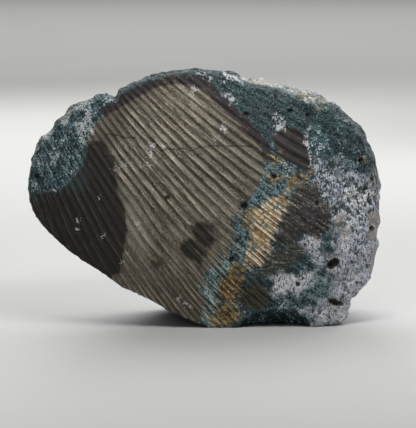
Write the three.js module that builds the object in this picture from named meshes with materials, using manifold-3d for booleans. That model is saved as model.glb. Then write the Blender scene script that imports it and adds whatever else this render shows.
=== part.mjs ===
// Apophyllite cluster in a hollow of its basalt, standing on edge.
// Millimetres, +Z up. The sawn back faces -Y and the crystal-lined hollow faces +Y.
// The origin is under the middle of the specimen, on the surface that it stands on.
import * as THREE from "three";
import { mergeVertices } from "three/addons/utils/BufferGeometryUtils.js";
import Module from "manifold-3d";

const wasm = await Module();
wasm.setup();
const { lerp, smoothstep, degToRad, radToDeg } = THREE.MathUtils;

// Driving dimensions of the stone.
const THICKNESS = 50; // from the sawn face to the rim of the hollow, at the middle
const WIDENS = 0.1; // the rim stands this much further forward per mm to the right
const THINS = 0.05; // and this much further back per mm upwards
const LEAN = degToRad(6); // the sawn face leans back from the upright
const SAWN_FOOT_Y = -34.8; // where the sawn face meets the surface it stands on
const MIDDLE = { x: 0, z: 57 }; // the point that the outline is drawn round
const FACE_CROWN = 0.0007; // how fast the sawn face falls away from its middle, per mm
const SAW_STOCK = 5; // what the saw took off
const SIDE_LUMPS = 3.4; // how far the broken sides stand out and in
const RIM_LUMPS = 3; // how far the rim of the hollow stands forward and back
const FLOOR_LUMPS = 2.2; // how uneven the crust is
const HOLLOW_DEPTH = 17;
const HOLLOW_REACH = 0.84; // the hollow's mouth, as a share of the rim
const HOLLOW_FULLNESS = 0.94; // at 1 the hollow's wall would be upright at its mouth
const RIM_ROUND = [[0.955, 0], [0.895, 1]]; // the rim's inner edge: share of the rim, then depth
const CRUST_THICKNESS = 5;
const GAP = 0.3; // between pieces that touch
const ROOM = 400; // a block this large holds the whole specimen

// Driving dimensions of the saw ridges, which fan out from a pivot beyond the upper left.
const RIDGE_PIVOT = { x: -137, z: 204 };
const RIDGE_PITCH = degToRad(1.08);
const RIDGE_COUNT = 43;
const RIDGE_FIRST = degToRad(27);
const RIDGE_NEAR = 122;
const RIDGE_FAR = 302;
const RIDGE_STEPS = 5;
const RIDGE_MID = 179; // at this distance a ridge runs straight away from the pivot
const RIDGE_CURL = 4.3e-6; // how fast it turns from there, radians per mm squared
const RIDGE_HEIGHT = 1.1;

// The outline of the stone, as its sawn back shows it: x to the right, z up.
const OUTLINE = [
  [-79.9, 61.9], [-79.2, 71.7], [-77, 79.8], [-73.8, 85.1], [-69.8, 87.4], [-68, 91.4],
  [-63.1, 94.5], [-60.4, 98.5], [-55.1, 101.2], [-49.7, 103.5], [-43.9, 104.8],
  [-40.3, 100.9], [-39.9, 104.4], [-39, 106.6], [-32.3, 109.5], [-25.6, 112.6], [-17.5, 114.4],
  [-8.1, 115.3], [2.6, 115.1], [8, 113.3], [10.6, 114.1], [14.2, 113.5], [16, 110.6],
  [25.4, 109.1], [34.3, 107.3], [43.3, 105.3], [52.2, 102.8], [57.6, 99.4], [64.7, 94.5],
  [70.1, 89.6], [74.1, 81.6], [77.7, 72.6], [79.7, 62.8], [79.9, 52.1], [79.5, 40.4],
  [77.7, 27.9], [73.7, 17.7], [68.3, 11.8], [65.6, 7.8], [64.7, 2.9], [60.2, -1],
  [42.4, -4], [22.7, -4], [5.7, -1.5], [-4.1, 2], [-13.1, 5.8], [-24.7, 12.1],
  [-37.2, 17.9], [-48.4, 25.5], [-60.4, 33.1], [-70.3, 42.2], [-76.5, 49.8], [-79.2, 56.1],
];
const LONG_STEP = 8; // a longer step between two of these points has another point half way
const EDGE_STEPS = [0, 0.3, 0.62, 1]; // the rings that round the sawn edge, as shares of a quarter turn
const SIDE_STEPS = [0.22, 0.45, 0.68, 0.9]; // the rings on the broken side, as shares of its depth
const SIDE_END = 0.97; // where the side meets the rim, as a share of the thickness

// How the edge changes round the outline. Each entry is an angle in degrees, anticlockwise from
// +X as the sawn back is seen, then a length.
const EDGE_INSET = [[0, 20], [40, 13], [62, 5], [90, 5], [150, 8], [170, 5], [200, 2.5], [250, 2],
  [295, 3], [325, 11]];
const EDGE_DEPTH = [[0, 15], [40, 11], [62, 6], [90, 4], [150, 5], [180, 3], [250, 2], [295, 3],
  [325, 9]];
// How far the rim of the hollow stands in from the outline.
const RIM_INSET = [[0, 14], [45, 12], [70, 9], [90, 12], [120, 12], [150, 13], [180, 14], [205, 6],
  [225, -1], [250, -6], [270, -3], [300, 1], [330, 9]];
// The crust laps over the top right edge, this thick.
const LAP_THICKNESS = [[0, 0], [35, 0], [38, 2.5], [43, 5.5], [48, 5.5], [54, 3], [62, 1.8], [80, 1.5],
  [84, 0]];

// Places on the sawn face where something has broken out: x and z, then the half sizes.
const PITS = [
  { at: [57.6, 28.4], size: [2.2, 2.4, 1.6] },
  { at: [50.4, 56.1], size: [1.5, 1.6, 1.2] },
  { at: [70.5, 74], size: [1.5, 1.4, 1.4] },
  { at: [75.4, 43.1], size: [1.6, 1.6, 1.3] },
  { at: [41.5, 19.4], size: [1.6, 1.6, 1.3] },
  { at: [30.7, 67.7], size: [2.2, 1.5, 1.5] },
  { at: [11.1, 31.1], size: [1, 1.6, 1] },
  { at: [-75.6, 67.3], size: [1.6, 1.6, 1.3] },
  { at: [-67.6, 68.6], size: [1.2, 1.4, 1.2] },
  { at: [56.7, 10.5], size: [6.5, 5, 1] },
];
const UNDERCUT = { at: [32, 0], size: [17.5, 8.5, 8.6] };

// Apophyllite crystals: square prisms that end in four faces over their edges. Each has its place
// in the hollow (x, z), its width, its length from the hollow's floor, the slopes at which it leans
// towards +X and +Z, its turn about its own length in degrees, and how much of its tip is flat.
const CLUSTER = [
  { at: [9, 62], width: 18, length: 27, lean: [0.04, 0.06], turn: 10, flat: 0 },
  { at: [24, 55], width: 14, length: 21, lean: [0.38, -0.08], turn: 34, flat: 0.25 },
  { at: [1, 49], width: 13, length: 18, lean: [-0.3, -0.3], turn: 58, flat: 0 },
  { at: [17, 76], width: 13, length: 19, lean: [0.12, 0.42], turn: 20, flat: 0 },
  { at: [-5, 70], width: 11, length: 14, lean: [-0.5, 0.22], turn: 72, flat: 0.3 },
  { at: [14, 46], width: 10, length: 14, lean: [0.15, -0.55], turn: 40, flat: 0 },
];
const PAIR = [
  { at: [-31, 66], width: 13, length: 18, lean: [-0.12, 0.12], turn: 25, flat: 0 },
  { at: [-39, 58], width: 9.5, length: 12, lean: [-0.42, -0.25], turn: 62, flat: 0.3 },
];
const SINGLES = [
  { at: [-17, 38], width: 10, length: 12, lean: [-0.1, -0.25], turn: 15, flat: 0.2 },
  { at: [42, 71], width: 11, length: 15, lean: [0.25, 0.2], turn: 48, flat: 0 },
  { at: [45, 45], width: 8.5, length: 10, lean: [0.3, -0.2], turn: 5, flat: 0 },
  { at: [-49, 76], width: 7, length: 9, lean: [-0.3, 0.3], turn: 33, flat: 0 },
  { at: [-14, 88], width: 8.5, length: 11, lean: [-0.05, 0.4], turn: 60, flat: 0 },
  { at: [32, 27], width: 7.5, length: 8, lean: [0.1, -0.35], turn: 70, flat: 0.35 },
  { at: [34, 84], width: 7, length: 8, lean: [0.2, 0.35], turn: 22, flat: 0 },
];
const CRYSTALS = [...CLUSTER, ...PAIR, ...SINGLES];
const PRISM_DEPTH = 0.92; // a prism's second width, as a share of its first
const END_SLOPE = 1.73; // how steeply the end faces rise towards the axis
const ROOT = 3.5; // how far a crystal reaches into the crust

// Small points that stand on the crust.
const DRUSE_RINGS = [[0.22, 7], [0.4, 12], [0.57, 17], [0.72, 22]];
const DRUSE_RADIUS = [2.2, 4];
const DRUSE_HEIGHT = 3; // in radii
const DRUSE_SIDES = 4;
const DRUSE_LEAN = 0.7; // how far the points at the rim lean outwards, in radians

// Colours and finishes.
const basalt = new THREE.MeshStandardMaterial({ color: 0x4b4a40, roughness: 0.9, metalness: 0 });
const druse = new THREE.MeshStandardMaterial({ color: 0xcfcabb, roughness: 0.55, metalness: 0 });
const apophyllite = new THREE.MeshStandardMaterial({ color: 0xd6ece0, roughness: 0.08, metalness: 0 });

// The length that a table gives at an angle, worked out between its entries.
function around(table, degrees) {
  const turn = ((degrees % 360) + 360) % 360;
  const closed = [...table, [360, table[0][1]]];
  const next = closed.findIndex(([angle]) => angle > turn);
  const [from, low] = closed[next - 1];
  const [to, high] = closed[next];
  return lerp(low, high, (turn - from) / (to - from));
}

// Numbers from 0 to 1 that look random and are the same each time.
function seeded(seed) {
  let state = seed;
  return () => {
    state = (state * 1664525 + 1013904223) % 4294967296;
    return state / 4294967296;
  };
}

// The uneven surface of broken stone: a height from about -1 to 1 at a point in space.
function lumps(x, y, z) {
  const wide = Math.sin(x * 0.19 + 2 * Math.sin(z * 0.11) + y * 0.13);
  const middle = Math.sin(z * 0.43 - x * 0.21 + 1.7 * Math.sin(y * 0.31));
  const fine = Math.sin(x * 0.83 + y * 0.71) * Math.sin(z * 0.77 - y * 0.39);
  return 0.4 * wide + 0.35 * middle + 0.25 * fine;
}

// The sawn face without its ridges: y at a place on the outline's plane.
function faceY(x, z) {
  const fall = (x - MIDDLE.x) ** 2 + (z - MIDDLE.z) ** 2;
  return SAWN_FOOT_Y + z * Math.tan(LEAN) + fall * FACE_CROWN;
}

// The plane of the rim round the hollow.
function rimY(x, z) {
  return SAWN_FOOT_Y + z * Math.tan(LEAN) + THICKNESS + WIDENS * x - THINS * (z - MIDDLE.z);
}

// A closed mesh as a solid for cutting and joining, its shared corners merged.
function solid(geometry) {
  const bare = geometry.clone();
  bare.deleteAttribute("normal");
  bare.deleteAttribute("uv");
  const merged = mergeVertices(bare, 1e-4);
  const corners = merged.index.array;
  const kept = [];
  for (let i = 0; i < corners.length; i += 3) {
    const [a, b, c] = corners.slice(i, i + 3);
    if (a !== b && b !== c && c !== a) kept.push(a, b, c);
  }
  return new wasm.Manifold(new wasm.Mesh({
    numProp: 3,
    vertProperties: new Float32Array(merged.attributes.position.array),
    triVerts: new Uint32Array(kept),
  }));
}

// A named mesh made of a solid, with flat faces.
function meshOf(name, made, material) {
  const { vertProperties, triVerts } = made.getMesh();
  const geometry = new THREE.BufferGeometry();
  geometry.setAttribute("position", new THREE.BufferAttribute(new Float32Array(vertProperties), 3));
  geometry.setIndex([...triVerts]);
  const flat = geometry.toNonIndexed();
  flat.computeVertexNormals();
  const mesh = new THREE.Mesh(flat, material);
  mesh.name = name;
  return mesh;
}

// The spokes from the middle to the points of the outline, with what the edge is like at each.
const SPOKES = (() => {
  const corners = OUTLINE.map(([x, z]) => new THREE.Vector3(x, 0, z));
  const curve = new THREE.CatmullRomCurve3(corners, true, "centripetal");
  const points = corners.flatMap((corner, i) => {
    const isLong = corner.distanceTo(corners[(i + 1) % corners.length]) > LONG_STEP;
    return isLong ? [corner, curve.getPoint((i + 0.5) / corners.length)] : [corner];
  });
  const reachOf = (point) => Math.hypot(point.x - MIDDLE.x, point.z - MIDDLE.z);
  return points.map((point, i) => {
    const nearby = [-3, -2, -1, 0, 1, 2, 3].map((step) => points.at((i + step) % points.length));
    const reach = new THREE.Vector2(point.x - MIDDLE.x, point.z - MIDDLE.z);
    const angle = radToDeg(Math.atan2(reach.y, reach.x));
    return {
      radius: reach.length(),
      frontRadius: nearby.reduce((sum, near) => sum + reachOf(near) / nearby.length, 0),
      out: reach.normalize(),
      edgeInset: around(EDGE_INSET, angle),
      edgeDepth: around(EDGE_DEPTH, angle),
      rimInset: around(RIM_INSET, angle),
      rimLift: RIM_LUMPS * (0.6 * Math.sin(reach.x * 5.1 + 1) + 0.4 * Math.sin(reach.y * 11 + reach.x * 3)),
      lap: around(LAP_THICKNESS, angle),
      face: faceY(point.x, point.z),
      thickness: rimY(point.x, point.z) - faceY(point.x, point.z),
    };
  });
})();

// How deep the hollow is at a share of the way from its middle to its mouth.
function hollowDepth(share) {
  const bowl = Math.sqrt(1 - HOLLOW_FULLNESS * Math.min(1, share) ** 2);
  return HOLLOW_DEPTH * bowl / Math.max(1, share) ** 12;
}

// The floor of the hollow at a place on the outline's plane.
function floorY(x, z) {
  const reach = new THREE.Vector2(x - MIDDLE.x, z - MIDDLE.z);
  const spoke = SPOKES.reduce((best, next) => (next.out.dot(reach) > best.out.dot(reach) ? next : best));
  const mouth = (spoke.frontRadius - spoke.rimInset) * HOLLOW_REACH;
  return rimY(x, z) - hollowDepth(reach.length() / mouth);
}

// The unsawn lump, as rings that run from its back round its edge and into the hollow. With bare
// at 0 it has its crust on. With bare at 1 it is the stone alone, grown outwards by grow.
function lump(bare, grow) {
  const place = (spoke, radius, y) => {
    const reach = radius + grow;
    return [MIDDLE.x + spoke.out.x * reach, y, MIDDLE.z + spoke.out.y * reach];
  };
  const back = faceY(MIDDLE.x, MIDDLE.z) - SAW_STOCK - grow;
  const rings = [() => [MIDDLE.x, back, MIDDLE.z]];
  rings.push((spoke) => place(spoke, spoke.radius - Math.max(spoke.edgeInset, bare * spoke.lap) - 1,
    spoke.face - SAW_STOCK - grow));
  for (const share of EDGE_STEPS) {
    const turn = share * Math.PI / 2;
    rings.push((spoke) => {
      const inset = Math.max(spoke.edgeInset * (1 - Math.sin(turn)), bare * spoke.lap);
      const depth = spoke.edgeDepth * (1 - Math.cos(turn));
      return place(spoke, spoke.radius - inset, spoke.face + depth);
    });
  }
  for (const share of SIDE_STEPS) {
    rings.push((spoke) => {
      const forward = lerp(spoke.edgeDepth / spoke.thickness, SIDE_END, share);
      const x = spoke.out.x * spoke.radius;
      const z = spoke.out.y * spoke.radius;
      const knob = SIDE_LUMPS * lumps(x, forward * spoke.thickness, z) * Math.sin(share * Math.PI * 0.9);
      const inset = spoke.rimInset * share ** 1.4 - Math.min(knob, Math.max(0, spoke.rimInset * share));
      const lift = spoke.rimLift * share + grow * share;
      const radius = lerp(spoke.radius, spoke.frontRadius, share) - inset - bare * spoke.lap;
      return place(spoke, radius, spoke.face + forward * spoke.thickness + lift);
    });
  }
  const inHollow = (spoke, share, depth, lift) => {
    const reach = (spoke.frontRadius - spoke.rimInset - bare * spoke.lap) * share;
    const x = MIDDLE.x + spoke.out.x * reach;
    const z = MIDDLE.z + spoke.out.y * reach;
    const knob = FLOOR_LUMPS * lumps(x * 1.3, 7, z * 1.3) * Math.min(1, 0.2 + depth / 9);
    return [x, rimY(x, z) - depth + knob + spoke.rimLift * share ** 2 - bare * lift + grow, z];
  };
  const onRim = (spoke) => (spoke.lap > 0 ? CRUST_THICKNESS * 0.6 : -0.5);
  for (const [share, depth] of RIM_ROUND) {
    rings.push((spoke) => inHollow(spoke, share, depth, onRim(spoke)));
  }
  for (const share of bare ? [1, 0.7, 0.35] : [1, 0.82, 0.64, 0.46, 0.28]) {
    rings.push((spoke) => inHollow(spoke, share * HOLLOW_REACH, hollowDepth(share), CRUST_THICKNESS));
  }
  rings.push((spoke) => inHollow(spoke, 0, HOLLOW_DEPTH, CRUST_THICKNESS));

  const profile = rings.map((ring, level) => {
    const onAxis = level === 0 || level === rings.length - 1;
    return new THREE.Vector2(onAxis ? 0 : 1, level);
  });
  const geometry = new THREE.LatheGeometry(profile, SPOKES.length);
  const position = geometry.attributes.position;
  for (let v = 0; v < position.count; v += 1) {
    const spoke = SPOKES[Math.floor(v / rings.length) % SPOKES.length];
    position.setXYZ(v, ...rings[v % rings.length](spoke));
  }
  return solid(geometry);
}

// How high the saw ridges stand: full on the bare basalt, low on the altered rim.
function ridgeHeight(x, z) {
  const toRight = smoothstep(x, 25, 60);
  const toUpperLeft = smoothstep(0.6 * z - 0.8 * x, 85, 105);
  const uneven = 0.75 + 0.25 * lumps(x * 1.7, 3, z * 1.7);
  return RIDGE_HEIGHT * uneven * (1 - 0.6 * toRight) * (1 - 0.5 * toUpperLeft);
}

// All that the saw left: a block whose back is the ridged cut. It stops at the surface it stands on.
function sawnBlock() {
  const stripes = RIDGE_COUNT * 2;
  const geometry = new THREE.BoxGeometry(1, 1, 1, stripes, RIDGE_STEPS, 1);
  const position = geometry.attributes.position;
  const front = SAWN_FOOT_Y + ROOM / 2;
  for (let v = 0; v < position.count; v += 1) {
    const stripe = Math.round((position.getX(v) + 0.5) * stripes);
    const away = lerp(RIDGE_NEAR, RIDGE_FAR, position.getY(v) + 0.5);
    const curl = RIDGE_CURL * (away - RIDGE_MID) ** 2;
    const angle = RIDGE_FIRST + (stripe / 2) * RIDGE_PITCH - curl;
    const x = RIDGE_PIVOT.x + away * Math.cos(angle);
    const z = RIDGE_PIVOT.z - away * Math.sin(angle);
    const crest = stripe % 2 === 0 ? -0.5 : 0.5;
    const isBack = position.getZ(v) > 0;
    position.setXYZ(v, x, isBack ? faceY(x, z) + crest * ridgeHeight(x, z) : front, z);
  }
  const above = new THREE.BoxGeometry(ROOM, ROOM, ROOM);
  above.translate(0, 0, ROOM / 2);
  return solid(geometry).intersect(solid(above));
}

// A rounded lump to cut out of the sawn face.
function chip({ at: [x, z], size }, detail) {
  const geometry = new THREE.IcosahedronGeometry(1, detail);
  geometry.scale(...size);
  geometry.translate(x, faceY(x, z), z);
  return solid(geometry);
}

// One crystal, or with grow the pocket that it stands in. Its axis runs out of the hollow.
function crystal({ at: [x, z], width, length, lean, turn, flat }, grow) {
  const side = width + 2 * grow;
  const root = ROOT + grow;
  const height = length + root;
  const prism = new THREE.BoxGeometry(side, height, side * PRISM_DEPTH);
  prism.translate(0, height / 2 - root, 0);
  const tip = length + grow * 2 + flat * width * 0.5;
  const drop = tip + root + 1;
  const ends = new THREE.ConeGeometry(drop / END_SLOPE * Math.SQRT2, drop, 4);
  ends.translate(0, tip - drop / 2, 0);
  const shape = solid(prism).intersect(solid(ends));
  const axis = new THREE.Vector3(lean[0], 1, lean[1]).normalize();
  const aim = new THREE.Quaternion().setFromUnitVectors(new THREE.Vector3(0, 1, 0), axis);
  const spin = new THREE.Quaternion().setFromAxisAngle(new THREE.Vector3(0, 1, 0), degToRad(turn));
  const seat = new THREE.Vector3(x, floorY(x, z), z);
  const matrix = new THREE.Matrix4().compose(seat, aim.multiply(spin), new THREE.Vector3(1, 1, 1));
  return shape.transform([...matrix.elements]);
}

// What the cuts leave of a solid, without any crumbs.
function without(whole, cuts) {
  const left = cuts.reduce((rest, cut) => rest.subtract(cut), whole);
  return left.decompose().reduce((most, piece) => (piece.volume() > most.volume() ? piece : most));
}

// The small points that the crust carries, on rings round the middle of the hollow.
function drusePoints() {
  const random = seeded(7);
  const points = [];
  for (const [share, count] of DRUSE_RINGS) {
    for (let i = 0; i < count; i += 1) {
      const spoke = SPOKES[Math.floor(((i + 0.7 * random()) / count) * SPOKES.length) % SPOKES.length];
      const reach = (spoke.frontRadius - spoke.rimInset) * (share + 0.05 * (random() - 0.5));
      const x = MIDDLE.x + spoke.out.x * reach;
      const z = MIDDLE.z + spoke.out.y * reach;
      const radius = lerp(...DRUSE_RADIUS, random());
      const isUnder = ({ at, width }) => Math.hypot(x - at[0], z - at[1]) < 0.7 * width + radius;
      if (CRYSTALS.some(isUnder)) continue;
      const point = new THREE.ConeGeometry(radius, radius * DRUSE_HEIGHT, DRUSE_SIDES);
      point.translate(0, radius * 0.6, 0);
      point.rotateZ(spoke.out.x * share * DRUSE_LEAN + 0.5 * (random() - 0.5));
      point.rotateX(-spoke.out.y * share * DRUSE_LEAN + 0.5 * (random() - 0.5));
      point.translate(x, floorY(x, z), z);
      points.push(solid(point));
    }
  }
  return points;
}

// The stone: the lump without its crust, sawn, with its pits and its undercut foot.
const pockets = CRYSTALS.map((one) => crystal(one, GAP));
const cuts = [chip(UNDERCUT, 1), ...PITS.map((pit) => chip(pit, 0)), ...pockets];
const stone = without(lump(1, 0).intersect(sawnBlock()), cuts);

// The crust: what the lump has over its stone, with the small points, less the crystals' pockets.
const lining = drusePoints().reduce((all, point) => all.add(point), lump(0, 0));
const crust = without(lining.intersect(sawnBlock()), [lump(1, GAP), ...pockets]);

// The crystals. Those that grow into each other are one solid.
const grown = (group) => group.map((one) => crystal(one, 0)).reduce((all, next) => all.add(next));

const specimen = new THREE.Group();
specimen.add(meshOf("basalt_matrix", stone, basalt));
specimen.add(meshOf("druse_crust", crust, druse));
specimen.add(meshOf("apophyllite_cluster", grown(CLUSTER), apophyllite));
specimen.add(meshOf("apophyllite_pair", grown(PAIR), apophyllite));
SINGLES.forEach((one, i) => {
  specimen.add(meshOf(`apophyllite_crystal_${i + 1}`, grown([one]), apophyllite));
});

export default specimen;
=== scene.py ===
# The apophyllite cluster: a sawn-backed piece of basalt that stands on edge, with a hollow full of
# crystals on its far side. Metres, +Z up. The sawn back faces -Y and the crystals face +Y.
import math
import random

import bmesh
import bpy
import numpy as np
from mathutils import Matrix, Vector, noise
from mathutils.bvhtree import BVHTree


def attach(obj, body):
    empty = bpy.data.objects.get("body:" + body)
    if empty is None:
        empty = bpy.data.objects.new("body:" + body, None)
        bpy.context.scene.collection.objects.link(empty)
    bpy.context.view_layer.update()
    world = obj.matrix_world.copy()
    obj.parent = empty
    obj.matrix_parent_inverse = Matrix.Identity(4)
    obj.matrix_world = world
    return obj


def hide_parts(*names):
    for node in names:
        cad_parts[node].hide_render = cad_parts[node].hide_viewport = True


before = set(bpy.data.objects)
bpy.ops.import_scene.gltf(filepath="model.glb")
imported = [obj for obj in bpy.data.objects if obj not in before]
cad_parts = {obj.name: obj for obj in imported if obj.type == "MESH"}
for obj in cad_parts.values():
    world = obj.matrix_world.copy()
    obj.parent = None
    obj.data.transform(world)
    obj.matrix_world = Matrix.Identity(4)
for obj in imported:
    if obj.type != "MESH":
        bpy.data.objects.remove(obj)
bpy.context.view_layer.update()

# The camera stands in front of the sawn back and a little above it, as in the photograph. Its
# frame is 416 by 428, so the sensor's width is the height of the picture.
MM = 0.001
VIEW_MIDDLE = Vector((1.25, -29.4, 51.2)) * MM
VIEW_HEIGHT = 191.3 * MM
VIEW_DISTANCE = 920 * MM
VIEW_DOWN = math.radians(8)

camera = bpy.data.objects.new("camera", bpy.data.cameras.new("camera"))
bpy.context.scene.collection.objects.link(camera)
to_camera = Vector((0, -math.cos(VIEW_DOWN), math.sin(VIEW_DOWN)))
camera.location = VIEW_MIDDLE + to_camera * VIEW_DISTANCE
camera.rotation_mode = "QUATERNION"
camera.rotation_quaternion = (-to_camera).to_track_quat("-Z", "Y")
camera.data.lens = camera.data.sensor_width * VIEW_DISTANCE / VIEW_HEIGHT
bpy.context.scene.camera = camera

# The table: a plain pale top that runs on past the view, in a pale room. A soft strip lamp hangs close
# above the sawn back, two lamps shine on the crystals, and a broad one hangs over the table behind.
TABLE_SIZE = 30
LAMPS = {
    "strip_over_back": {"place": (0.045, -0.085, 0.215), "aim": (0.01, -0.02, 0.06), "wide": 0.2,
                        "deep": 0.05, "power": 0.27},
    "lamp_over_crystals": {"place": (-0.35, 0.8, 0.7), "aim": (0, 0, 0.06), "wide": 1.1, "deep": 0.9,
                           "power": 7},
    "window_by_crystals": {"place": (0.42, 0.5, 0.34), "aim": (0, 0, 0.06), "wide": 0.42, "deep": 0.5,
                           "power": 1.5},
    "broad_lamp_behind": {"place": (0, 2.4, 1.9), "aim": (0, 2.2, 0), "wide": 4.5, "deep": 3.6,
                          "power": 60},
}
WALL_LIGHT = 0.09
PALE_GREY = (0.66, 0.66, 0.65, 1)
DULLER_GREY = (0.65, 0.65, 0.64, 1)


class Wire:
    """A socket of a material's nodes. A sum written with wires adds its Math nodes."""

    def __init__(self, finish, socket):
        self.finish = finish
        self.socket = socket

    def maths(self, operation, *values):
        return self.finish.node("Math", {"operation": operation}, dict(enumerate((self, *values))))

    def __add__(self, other):
        return self.maths("ADD", other)

    __radd__ = __add__

    def __mul__(self, other):
        return self.maths("MULTIPLY", other)

    __rmul__ = __mul__

    def __sub__(self, other):
        return self.maths("SUBTRACT", other)

    def __rsub__(self, other):
        return (self * -1).maths("ADD", other)

    def __or__(self, other):
        return self.maths("MAXIMUM", other)

    def rising(self, low, high):
        """0 below low and 1 above high, with a soft step between them."""
        sockets = {"Value": self, "From Min": low, "From Max": high}
        return self.finish.node("MapRange", {"interpolation_type": "SMOOTHSTEP"}, sockets)


class Finish:
    """A material with one Principled surface, and the nodes that feed it."""

    def __init__(self, name, constants):
        self.material = bpy.data.materials.new(name)
        self.material.use_nodes = True
        self.surface = self.material.node_tree.nodes["Principled BSDF"]
        self.here = None
        for socket, value in constants.items():
            self.surface.inputs[socket].default_value = value

    def join(self, value, socket):
        if isinstance(value, Wire):
            self.material.node_tree.links.new(value.socket, socket)
        else:
            socket.default_value = value

    def node(self, kind, settings, sockets, output=0):
        made = self.material.node_tree.nodes.new("ShaderNode" + kind)
        for name, value in settings.items():
            setattr(made, name, value)
        for key, value in sockets.items():
            self.join(value, made.inputs[key])
        return Wire(self, made.outputs[output])

    def place(self):
        """Where a point of the surface is, in mm."""
        if self.here is None:
            here = self.node("TexCoord", {}, {}, output="Object")
            self.here = self.node("VectorMath", {"operation": "SCALE"}, {0: here, "Scale": 1 / MM})
        return self.here

    def place_along(self, axis):
        return self.node("SeparateXYZ", {}, {0: self.place()}, output=axis)

    def cloud(self, size, detail=2, shift=0, where=None, roughness=0.5):
        """Noise around 0.5, whose largest lumps are this many mm wide."""
        where = where or self.place()
        aside = (shift, shift * 2.3, shift * 0.7)
        moved = self.node("VectorMath", {"operation": "ADD"}, {0: where, 1: aside})
        sockets = {"Vector": moved, "Scale": 1 / size, "Detail": detail, "Roughness": roughness}
        return self.node("TexNoise", {}, sockets)

    def blend(self, under, over, amount):
        return self.node("Mix", {"data_type": "RGBA"}, {0: amount, 6: under, 7: over}, output=2)

    def coats(self, colour, *layers):
        """A colour with others laid over it in turn, each given with how much of it shows there."""
        for over, amount in layers:
            colour = self.blend(colour, over, amount)
        return colour

    def attribute(self, name):
        return self.node("Attribute", {"attribute_name": name}, {}, output="Fac")

    def feed(self, values):
        """Joins values to the surface's own sockets, by name."""
        for socket, value in values.items():
            self.join(value, self.surface.inputs[socket])


def tone(red, green, blue):
    """A colour given as it looks on a screen, from 0 to 255."""
    screen = [value / 255 for value in (red, green, blue)]
    return (*(v / 12.92 if v <= 0.04045 else ((v + 0.055) / 1.055) ** 2.4 for v in screen), 1)


def new_piece(name, mesh):
    piece = bpy.data.objects.new(name, mesh)
    bpy.context.scene.collection.objects.link(piece)
    return piece


def filled_mesh(name, bm):
    mesh = bpy.data.meshes.new(name)
    bm.to_mesh(mesh)
    bm.free()
    return mesh


bm = bmesh.new()
bmesh.ops.create_grid(bm, x_segments=1, y_segments=1, size=TABLE_SIZE / 2)
table = new_piece("table_top", filled_mesh("table_top", bm))
pale = Finish("pale_table", {"Roughness": 0.6, "Specular IOR Level": 0.25})
pale.feed({"Base Color": pale.blend(PALE_GREY, DULLER_GREY, pale.cloud(220).rising(0.3, 0.7))})
table.data.materials.append(pale.material)

for lamp_name, lamp in LAMPS.items():
    light = bpy.data.lights.new(lamp_name, "AREA")
    light.shape = "RECTANGLE"
    light.size = lamp["wide"]
    light.size_y = lamp["deep"]
    light.energy = lamp["power"]
    holder = bpy.data.objects.new(lamp_name, light)
    bpy.context.scene.collection.objects.link(holder)
    holder.location = lamp["place"]
    holder.rotation_mode = "QUATERNION"
    holder.rotation_quaternion = (Vector(lamp["aim"]) - holder.location).to_track_quat("-Z", "Y")
    holder.visible_camera = False

room = bpy.data.worlds.new("pale_room")
room.use_nodes = True
room.node_tree.nodes["Background"].inputs["Color"].default_value = (1, 1, 1, 1)
room.node_tree.nodes["Background"].inputs["Strength"].default_value = WALL_LIGHT
bpy.context.scene.world = room
bpy.context.scene.view_settings.view_transform = "Standard"

# The stone: one piece of basalt, whose back was sawn off with a wheel that left long ridges. Its
# rim has turned to teal celadonite, rust has run in along a vein, and its right end is natural skin.
# Sizes are in mm here and below.
STONE_GRAIN = 1.15
BACK_FACING = -0.6
LEAN = math.radians(6)
SAWN_FOOT = -34.8
CROWN_HEIGHT = 57
CROWN = 0.0007
SAWN_WITHIN = (1.2, 2.6)
UNDER_CRUST = 0.9
FOOT_FLAT = (0.4, 4)
SWELL = 0.9
KNOB_HEIGHT = 0.8
LUMP_HEIGHT = 2.6
STONE_GRIT = 0.25
SPOT_BEND = 0.9
SPOT_DEPTH = 1.5

# The saw's strokes fan out from a pivot beyond the upper left, one every 1.08 degrees. They curl a
# little with their distance from it, and run twice as close where the wheel was moved more slowly.
PIVOT = (-137, 204)
STROKE_PITCH = math.radians(1.08)
FIRST_STROKE = math.radians(27)
STRAIGHT_AT = 179
STROKE_CURL = 4.3e-6
STROKE_HEIGHT = 1.1
STROKE_WANDER = 0.16
CREST = 0.78
FINER_LEAN = 0.35
FINER_FROM = (195, 240)
FINER_SHIFT = 0.3
LINE_STRETCH = 0.018
SAW_GRIT = 0.12

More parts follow.
